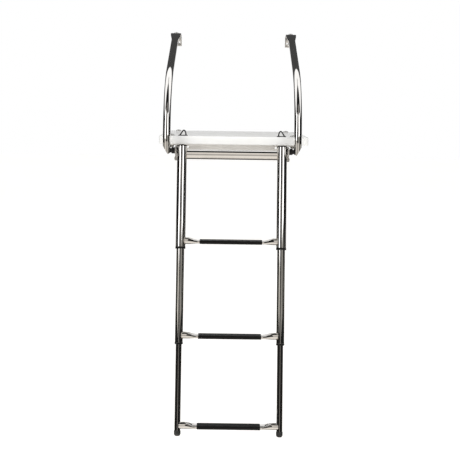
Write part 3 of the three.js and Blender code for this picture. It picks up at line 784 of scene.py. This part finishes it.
def rail_spacer(word, sign):
    """A shouldered bush whose outer end is a saddle for the rail."""
    low, high = box_mm(f"rail_spacer_{word}")
    inner = sideways(f"rail_spacer_{word}")[0]
    length = high.x - low.x
    radius = (high.z - low.z) / 2
    shoulder = SPACER_SHOULDER - inner
    corners = [(PIVOT_BORE, 0), (radius, 0), (radius, shoulder),
               (SPACER_NECK, shoulder), (SPACER_NECK, length), (PIVOT_BORE, length)]
    outwards = facing((sign, 0, 0), (sign * inner, PIVOT.y, PIVOT.z))
    profile = rounded(corners, [0.4, 1.4, 1.4, 0.4, 0.1, 0.1])
    spacer = revolved(f"rail_spacer_saddle_{word}", profile, outwards)
    ends = [(sign * RAIL_X, PIVOT.y, PIVOT.z + off) for off in (-40, 40)]
    rail = cylinder_between("rail", *ends, RAIL_RADIUS + GAP, 96)
    finished(carve(spacer, cutters=[rail]), f"rail_spacer_{word}", NYLON)


def pivot_washer(word):
    node = f"pivot_washer_{word}"
    low, high = box_mm(node)
    outer = (high.z - low.z) / 2
    length = high.x - low.x
    profile = rounded([(PIVOT_BORE, 0), (outer, 0), (outer, length), (PIVOT_BORE, length)], 0.3, steps=5)
    place = facing((1, 0, 0), (low.x, PIVOT.y, PIVOT.z))
    finished(revolved(f"pivot_washer_ring_{word}", profile, place), node, NYLON)


def pivot_bolt(word, sign):
    """A plain shank with a rounded inner end, under a hexagon head that sits inside the rail's cut end."""
    inner, outer = sideways(f"pivot_bolt_{word}")
    seat = outer - PIVOT_HEAD
    flats = 2 * PIVOT_HEAD_CORNER * cos(TAU / 12)
    outwards = facing((sign, 0, 0), (sign * seat, PIVOT.y, PIVOT.z))
    head = hex_body("head", flats, PIVOT_HEAD, outwards, both_ends=False)
    into_head = 0.4
    corners = [(0, inner - seat), (PIVOT_SHANK, inner - seat), (PIVOT_SHANK, into_head), (0, into_head)]
    shank = revolved("shank", rounded(corners, [0, 0.8, 0, 0]), outwards)
    finished(merged(f"pivot_bolt_hex_{word}", [head, shank]), f"pivot_bolt_{word}", FASTENER)


# -------- ladder


def column(word):
    """The frame of one side's tubes: Z runs up along them and the origin is level with the pivot."""
    x = centre_mm(f"outer_tube_{word}").x
    return LADDER @ Matrix.Translation((x, 0, 0))


def ladder_tube(word, section):
    node = f"{section}_tube_{word}"
    bottom, top = heights(node)
    outer = half_width(node)
    inner = outer - WALL
    profile = rounded([(inner, bottom), (outer, bottom), (outer, top), (inner, top)], 0.35, steps=3)
    finished(revolved(f"{section}_tube_drawn_{word}", profile, column(word), 96), node, STAINLESS)


CAP_OVERHANG = 1.325  # a cap's rim stands this far proud of the tube
CAP_SHOULDER = 2.0  # height of the rim below the dome
SLIDING_FIT = 0.2  # clearance of plugs and guides in the tubes


def tube_cap(word):
    """A plug in the outer tube's top, with a low dome and a rim that rests on the tube."""
    node = f"tube_cap_{word}"
    bottom, top = heights(node)
    tube_top = heights(f"outer_tube_{word}")[1]
    tube_radius = half_width(f"outer_tube_{word}")
    plug = tube_radius - WALL - SLIDING_FIT
    rim = tube_radius + CAP_OVERHANG
    seat = tube_top + GAP
    shoulder = seat + CAP_SHOULDER
    profile = [(0, bottom), (plug - 0.8, bottom), (plug, bottom + 0.8), (plug, seat)]
    profile += [(rim - 0.3, seat), (rim, seat + 0.35)]
    for angle in arc(0, 90, 10):
        # The square root makes the dome's sides fuller than a circle's.
        profile.append((rim * cos(angle) ** 0.5, shoulder + (top - shoulder) * sin(angle)))
    finished(revolved(f"tube_cap_dome_{word}", profile, column(word)), node, CAP_PLASTIC)


def collar(word, section, host, guest):
    """The moulded guide in a tube's mouth: a rounded lip outside and a thin sleeve up inside."""
    node = f"{section}_collar_{word}"
    bottom, top = heights(node)
    mouth = heights(f"{host}_tube_{word}")[0] - GAP
    lip = half_width(node)
    sleeve = half_width(f"{host}_tube_{word}") - WALL - 0.15
    bore = half_width(f"{guest}_tube_{word}") + SLIDING_FIT
    corners = [(bore, bottom), (lip, bottom), (lip, mouth), (sleeve, mouth), (sleeve, top), (bore, top)]
    profile = rounded(corners, [0.6, 1.3, 0.8, 0.1, 0.3, 0.3], steps=5)
    finished(revolved(f"{section}_collar_moulded_{word}", profile, column(word), 96), node, NYLON)


def glide(word, section, host):
    """The moulded plug on a sliding tube's top, which runs inside the next tube."""
    node = f"{section}_glide_{word}"
    bottom, top = heights(node)
    end = heights(f"{section}_tube_{word}")[1] + GAP
    guest = half_width(f"{section}_tube_{word}")
    outer = half_width(f"{host}_tube_{word}") - WALL - SLIDING_FIT
    inner = guest - WALL
    skirt = guest + 0.15
    corners = [(skirt, bottom), (outer, bottom), (outer, top), (inner, top), (inner, end), (skirt, end)]
    profile = rounded(corners, [0.2, 0.5, 0.8, 0.4, 0.1, 0.1], steps=3)
    finished(revolved(f"{section}_glide_moulded_{word}", profile, column(word)), node, NYLON)


SOLE_LIFT = 0.3  # the round sole, tilted with the tube, stays above the bottom of the CAD foot
SOLE_HEIGHT = 8.5
SOLE_FLAT = 4.0  # radius of the flat in the middle of the sole


def foot_cap(word):
    """A rounded foot, slightly wider than the tube, with a soft lip at its top."""
    node = f"foot_cap_{word}"
    bottom, top = heights(node)
    bottom += SOLE_LIFT
    outer = half_width(node)
    tube = half_width(f"lower_tube_{word}") + GAP
    tube_end = heights(f"lower_tube_{word}")[0] - GAP
    profile = [(0, bottom)]
    for angle in arc(0, 90, 12):
        out = SOLE_FLAT + (outer - SOLE_FLAT) * sin(angle)
        profile.append((out, bottom + SOLE_HEIGHT * (1 - cos(angle))))
    profile += [(outer, top - 1.6), (outer - 0.25, top - 0.4), (outer - 0.7, top)]
    profile += [(tube, top), (tube, tube_end), (0, tube_end)]
    finished(revolved(f"foot_cap_moulded_{word}", profile, column(word)), node, FOOT_PLASTIC_PAINTED_SHEEN)


def coped(bar, host):
    """Cuts the ends of a bar to fit against the two tubes of a section."""
    notches = []
    for word in SIDES:
        node = f"{host}_tube_{word}"
        bottom, top = (column(word) @ Vector((0, 0, z)) for z in heights(node))
        notches.append(cylinder_between("notch", bottom, top, half_width(node) + GAP, 120))
    return carve(bar, cutters=notches)


RUNG_HOST = {"upper": "outer", "middle": "middle", "lower": "lower"}
RUNG_DOWN = {"upper": 301.0, "middle": 612.5, "lower": 906.0}  # distance from the pivot
RUNG_RADIUS = 11.0
RUNG_HALF_WIDTH = 14.5
RUNG_HALF_THICK = 4.5
RUNG_DROP = 2.5  # the flat part lies a little below the round ends' axis
RUNG_ROUND = 143.0  # the rung is round beyond this distance from its middle
RUNG_FLAT = 108.0  # and flat within this one
ROUND_STEPS, PRESSED_STEPS = 4, 28


def rung_frame(section):
    """The frame of a rung: X along it and Z truly up, since a rung's flats are level when deployed."""
    down = Matrix.Translation((0, 0, -RUNG_DOWN[section]))
    return LADDER @ down @ Matrix.Rotation(LEAN, 4, "X")


def rung(section):
    """A tube pressed flat along its middle, with round ends coped to the ladder tubes."""
    half = box_mm(f"{section}_rung")[1].x - 1.0
    places = [mix(half, RUNG_ROUND, i / ROUND_STEPS) for i in range(ROUND_STEPS)]
    places += [mix(RUNG_ROUND, RUNG_FLAT, i / PRESSED_STEPS) for i in range(PRESSED_STEPS + 1)]
    rings = []
    for x in [-x for x in places] + places[::-1]:
        flat = smooth_step((RUNG_ROUND - abs(x)) / (RUNG_ROUND - RUNG_FLAT))
        wide = mix(RUNG_RADIUS, RUNG_HALF_WIDTH, flat)
        thick = mix(RUNG_RADIUS, RUNG_HALF_THICK, flat)
        centre = Vector((x, 0, -RUNG_DROP * flat))
        rings.append(flattened_ring(centre, Vector((0, 1, 0)), Vector((0, 0, 1)), wide, thick))
    bar = solid(f"{section}_rung_pressed", rings, rung_frame(section), sharp=50)
    finished(coped(bar, RUNG_HOST[section]), f"{section}_rung", STAINLESS)


TREAD_WIDTH, TREAD_THICK, TREAD_CORNER = 32.4, 12.4, 4.4
TREAD_GROOVES = 8
TREAD_GROOVE_DEPTH = 0.8
TREAD_END_ROUND = 1.6
SECTION_POINTS = 200


def bar_section(width, thick, radius, grooved=False):
    """A rounded bar's section, evenly spaced along its edge from the middle of one side.

    When it is grooved, the flat on top carries lengthwise grooves between ribs."""
    quarter = pi * radius / 2
    sides = [thick - 2 * radius, width - 2 * radius] * 2
    total = sum(sides) + 4 * quarter
    points = []
    for i in range(SECTION_POINTS):
        s = (sides[0] / 2 + total * i / SECTION_POINTS) % total
        turn = 0
        while s > sides[turn] + quarter:
            s -= sides[turn] + quarter
            turn += 1
        bend = max(s - sides[turn], 0.0) / radius
        out = sides[turn - 1] / 2 + radius * cos(bend)
        along = min(s, sides[turn]) - sides[turn] / 2 + radius * sin(bend)
        if grooved and turn == 1 and bend == 0:
            wave = 0.5 + 0.5 * cos(TAU * TREAD_GROOVES * s / sides[1])
            out -= TREAD_GROOVE_DEPTH * smooth_step((wave - 0.55) / 0.35)
        face_y, face_z = ((1, 0), (0, 1), (-1, 0), (0, -1))[turn]
        points.append((out * face_y - along * face_z, out * face_z + along * face_y))
    return points


def end_rounding(half, radius):
    """Places along a bar with the inset that rounds off its two ends."""
    right = [(half - radius * (1 - sin(a)), radius * (1 - cos(a))) for a in arc(0, 90, 5)]
    return [(-x, inset) for x, inset in right[::-1]] + right


def tread(section):
    """The ribbed sleeve on a rung: ribs along the top, rounded ends, and a bore that hugs the rung."""
    half = half_width(f"{section}_tread")
    rings = []
    for x, inset in end_rounding(half, TREAD_END_ROUND):
        width, thick = TREAD_WIDTH - 2 * inset, TREAD_THICK - 2 * inset
        outline = bar_section(width, thick, TREAD_CORNER - inset * 0.6, grooved=True)
        rings.append([(x, y, z - RUNG_DROP) for y, z in outline])
    wide, thick = RUNG_HALF_WIDTH + GAP, RUNG_HALF_THICK + GAP
    bore = bar_section(2 * wide, 2 * thick, thick - 0.01)
    for x in (half - 0.2, 0.0, -half + 0.2):
        rings.append([(x, y, z - RUNG_DROP) for y, z in bore])
    piece = solid(f"{section}_tread_sleeve", rings, rung_frame(section), sharp=30, loop=True)
    finished(piece, f"{section}_tread", RUBBER)


WELD_POINTS = 120
RUNG_BEAD = 1.3
CROSS_BEAD = 1.4


def saddle_weld(name, matrix, tube_radius, bar_radius, side, bead, seed, behind=0.0):
    """A fillet bead on the curve where a bar meets a tube. The bar lies along X and the tube along Z.

    A bar that lies behind the tube's axis meets it along an open curve, and the bead ends there."""
    ripple = random.Random(seed)
    phases = [ripple.uniform(0, TAU) for _ in range(3)]
    path = []
    for i in range(WELD_POINTS + 1):
        angle = TAU * i / WELD_POINTS
        y = behind + bar_radius * cos(angle)
        z = bar_radius * sin(angle)
        if abs(y) < tube_radius * 0.76:
            path.append(Vector((side * sqrt(tube_radius ** 2 - y * y), y, z)))
    rings = []
    for i, point in enumerate(path):
        outwards = Vector((0, point.y - behind, point.z)).normalized()
        other = tangent_at(path, i).cross(outwards).normalized()
        turn = TAU * i / WELD_POINTS
        ripples = 0.10 * sin(26 * turn + phases[0]) + 0.08 * sin(7 * turn + phases[1])
        rings.append(ring_around(point, outwards, other, bead * (1 + ripples), 10))
    return solid(name, rings, matrix, sharp=60)


def welds():
    """Beads at the ends of the rungs and of the cross tube."""
    behind, height, cross_radius = cross_tube_frame()
    seed = 1
    for word, sign in SIDES.items():
        for section, host in RUNG_HOST.items():
            place = column(word) @ Matrix.Translation((0, 0, -RUNG_DOWN[section]))
            radius = half_width(f"{host}_tube_{word}")
            bar = min(RUNG_RADIUS, radius - 0.4)
            bead = saddle_weld(f"{section}_rung_weld_{word}", place, radius, bar, -sign, RUNG_BEAD, seed)
            dressing(bead, f"{section}_section", WELD)
            seed += 1
        place = column(word) @ Matrix.Translation((0, 0, height))
        radius = half_width(f"outer_tube_{word}")
        bead = saddle_weld(
            f"cross_tube_weld_{word}", place, radius, cross_radius, -sign, CROSS_BEAD, seed, behind)
        dressing(bead, "upper_section", WELD)
        seed += 1


def cross_tube_frame():
    """Where the cross tube's axis lies in the ladder's own frame (y, z), and the tube's radius."""
    places = [point.y for point in ladder_points("cross_tube")]
    behind = (min(places) + max(places)) / 2
    low, high = heights("cross_tube")
    return behind, (low + high) / 2, (high - low) / 2


def cross_tube():
    behind, height, radius = cross_tube_frame()
    half = half_width("cross_tube")
    middle = LADDER @ Matrix.Translation((0, behind, height)) @ Matrix.Rotation(pi / 2, 4, "Y")
    inner = radius - WALL
    profile = rounded([(inner, -half), (radius, -half), (radius, half), (inner, half)], 0.3, steps=2)
    bar = revolved("cross_tube_drawn", profile, middle, 120)
    finished(coped(bar, "outer"), "cross_tube", STAINLESS)


# -------- the whole ladder

platform()
transom_angle()
for side_word, side_sign in SIDES.items():
    side_arm(side_word, side_sign)
    stop_pin(side_word, side_sign)
    pad_eye(side_word, side_sign)
    for bolt_place in ("front", "rear"):
        end = f"{bolt_place}_{side_word}"
        bolt_and_nut(f"deck_bolt_{end}", f"carriage_bolt_{end}", f"deck_nut_{end}", f"deck_nut_hex_{end}")
    grab_rail(side_word, side_sign)
    transom_bracket(side_word)
    rail_spacer(side_word, side_sign)
    pivot_washer(side_word)
    pivot_bolt(side_word, side_sign)
    for tube_section in ("outer", "middle", "lower"):
        ladder_tube(side_word, tube_section)
    tube_cap(side_word)
    collar(side_word, "upper", "outer", "middle")
    collar(side_word, "middle", "middle", "lower")
    glide(side_word, "middle", "outer")
    glide(side_word, "lower", "middle")
    foot_cap(side_word)
cross_tube()
for rung_section in RUNG_HOST:
    rung(rung_section)
    tread(rung_section)
welds()

# -------- floor, light and camera

WHITE = (1.0, 1.0, 1.0)
BEIGE = (1.0, 0.96, 0.88)
FLOOR_DROP = 0.16  # metres from the ladder's feet down to the floor
FLOOR_HALF = 14.0


def floor():
    """A wide pale floor below the ladder's feet. Mirrors do not show it; they show the studio."""
    height = CAD_BOUNDS[0].z - FLOOR_DROP
    data = bpy.data.meshes.new("floor")
    spots = ((-1, -1), (1, -1), (1, 1), (-1, 1))
    data.from_pydata([(x * FLOOR_HALF, y * FLOOR_HALF, height) for x, y in spots], [], [(0, 1, 2, 3)])
    s = Surface("pale_floor")
    tone = s.ramp(s.noise(0.8, 3.0, 0.5), 0.3, 0.7)
    s.set(Roughness=0.9, Emission_Color=(1.0, 0.995, 0.985, 1.0), Emission_Strength=0.35)
    data.materials.append(s.finish(s.blend(tone, (0.90, 0.885, 0.86), (0.92, 0.905, 0.88))))
    plane = placed("floor", data)
    plane.visible_glossy = False


class Studio(NodeTree):
    """The studio around the ladder, as brightness over direction, built from shader nodes."""

    easing = "SMOOTHSTEP"

    def __init__(self):
        self.world = bpy.data.worlds.new("studio")
        self.world.use_nodes = True
        self.tree = self.world.node_tree
        self.tree.nodes.clear()
        direction = self.node("ShaderNodeTexCoord").outputs["Generated"]
        axes = self.node("ShaderNodeSeparateXYZ", {0: direction}).outputs
        self.x, self.y, self.z = axes["X"], axes["Y"], axes["Z"]

    def all_of(self, *masks):
        product = masks[0]
        for mask in masks[1:]:
            product = self.math("MULTIPLY", product, mask)
        return product

    def light(self, strength, colour=(*WHITE, 1.0)):
        return self.node("ShaderNodeBackground", {"Strength": strength, "Color": colour}).outputs[0]

    def choose(self, factor, first, second):
        return self.node("ShaderNodeMixShader", {0: factor, 1: first, 2: second}).outputs[0]


def mirrored_room(s):
    """What mirrors see: a dim room with a lit floor, a white arch overhead and a narrow screen ahead."""
    across = s.math("ABSOLUTE", s.x)
    narrow = s.ramp(across, 0.075, 0.06)

    below = s.ramp(s.z, 0.0, -0.04)
    ahead = s.ramp(s.y, -0.78, -0.88)
    steep = s.ramp(s.z, -0.20, -0.40)
    not_behind = s.ramp(s.y, 0.18, -0.02, 0.05, 1.0)
    floor_near = s.ramp(s.z, -0.10, -0.40, 0.44, 0.95)
    floor_glow = s.all_of(floor_near, below, s.math("MAXIMUM", ahead, steep), not_behind)

    # The arch starts further back on the middle line.
    from_front = s.math("ADD", s.y, s.math("MULTIPLY", across, 0.5))
    arch_front = s.ramp(s.math("SUBTRACT", from_front, s.math("MULTIPLY", narrow, 0.2)), -0.03, 0.05)
    arch_back = s.ramp(s.y, 0.63, 0.57)
    arch = s.all_of(arch_front, arch_back, s.ramp(s.z, 0.36, 0.48), s.ramp(across, 0.95, 0.88))

    screen_ahead = s.all_of(narrow, s.ramp(s.y, 0.0, -0.2))
    screen = s.all_of(screen_ahead, s.ramp(s.z, 0.84, 0.78), s.ramp(s.z, 0.0, 0.03))
    screen_light = s.all_of(screen, s.ramp(s.z, 0.30, 0.45, 0.55, 0.9))

    far_back = s.all_of(s.ramp(s.y, 0.58, 0.66), s.ramp(s.z, 0.1, 0.3, 0.0, 0.05))
    room = s.math("ADD", floor_glow, s.math("MULTIPLY", arch, 1.25))
    room = s.math("ADD", s.math("ADD", room, screen_light), s.math("ADD", far_back, 0.015))
    return s.light(room, s.blend(s.math("MAXIMUM", below, screen), WHITE, (1.0, 0.94, 0.87)))


def studio_world():
    """White to the eye, soft white light on matt surfaces, and the dim room in mirrors."""
    s = Studio()
    mirrored = mirrored_room(s)
    around = s.ramp(s.y, 0.6, -0.8, 0.62, 1.14)
    from_sides = s.ramp(s.math("ABSOLUTE", s.x), 0.4, 1.0, 1.0, 0.5)
    soft = s.light(s.math("MULTIPLY", around, from_sides))
    ray = s.node("ShaderNodeLightPath").outputs
    unseen = s.choose(ray["Is Glossy Ray"], soft, mirrored)
    surface = s.choose(ray["Is Camera Ray"], unseen, s.light(1.0))
    s.node("ShaderNodeOutputWorld", {"Surface": surface})
    bpy.context.scene.world = s.world


def panel(name, azimuth, distance, low, high, width, brightness, colour=WHITE):
    """An upright soft box turned towards the pivot. Azimuth 0 is in front, 90 on the right."""
    angle = radians(azimuth)
    height = (low + high) / 2
    pivot_y = PIVOT.y * MM
    place = Vector((distance * sin(angle), pivot_y - distance * cos(angle), height))
    light = bpy.data.lights.new(name, "AREA")
    light.shape = "RECTANGLE"
    light.size = width
    light.size_y = high - low
    light.energy = brightness * pi * width * (high - low)
    light.color = colour
    lamp = placed(name, light)
    lamp.location = place
    lamp.rotation_euler = (Vector((0.0, pivot_y, height)) - place).to_track_quat("-Z", "Y").to_euler()
    lamp.visible_camera = False


def lights():
    """Two tall panels in front with dimmer skirts, two low strips at the sides, and three panels behind."""
    panel("panel_left", -45, 2.6, 0.12, 2.1, 1.05, 2.5)
    panel("panel_right", 34, 2.6, 0.36, 2.1, 1.25, 2.2)
    panel("skirt_left", -45, 2.6, -0.33, 0.12, 1.05, 0.9, BEIGE)
    panel("skirt_right", 34, 2.6, -0.26, 0.36, 1.25, 0.4, BEIGE)
    for word, sign in SIDES.items():
        panel(f"low_{word}", sign * 90, 6.0, -0.44, -0.27, 4.6, 0.45, BEIGE)
    for word, sign in SIDES.items():
        panel(f"panel_back_{word}", sign * 153, 3.2, -0.8, 0.35, 0.7, 0.4)
    panel("panel_back", 180, 3.4, -0.5, 0.9, 1.3, 0.8)


CAMERA_PLACE = (-0.006, -3.196, 0.184)
CAMERA_YAW, CAMERA_PITCH, CAMERA_ROLL = (radians(angle) for angle in (0.056, 9.36, 0.8))


def camera():
    """The camera stands square in front, a little above the platform, and looks slightly down."""
    data = bpy.data.cameras.new("camera")
    data.sensor_width = 36.0
    data.lens = 63.3
    data.clip_start = 0.05
    data.clip_end = 100.0
    data.dof.use_dof = False
    eye = placed("camera", data)
    tilt = Matrix.Rotation(pi / 2 - CAMERA_PITCH, 4, "X") @ Matrix.Rotation(CAMERA_ROLL, 4, "Z")
    turn = Matrix.Rotation(-CAMERA_YAW, 4, "Z") @ tilt
    eye.matrix_world = Matrix.Translation(CAMERA_PLACE) @ turn
    bpy.context.scene.camera = eye


floor()
studio_world()
lights()
camera()
bpy.context.scene.view_settings.view_transform = "Standard"
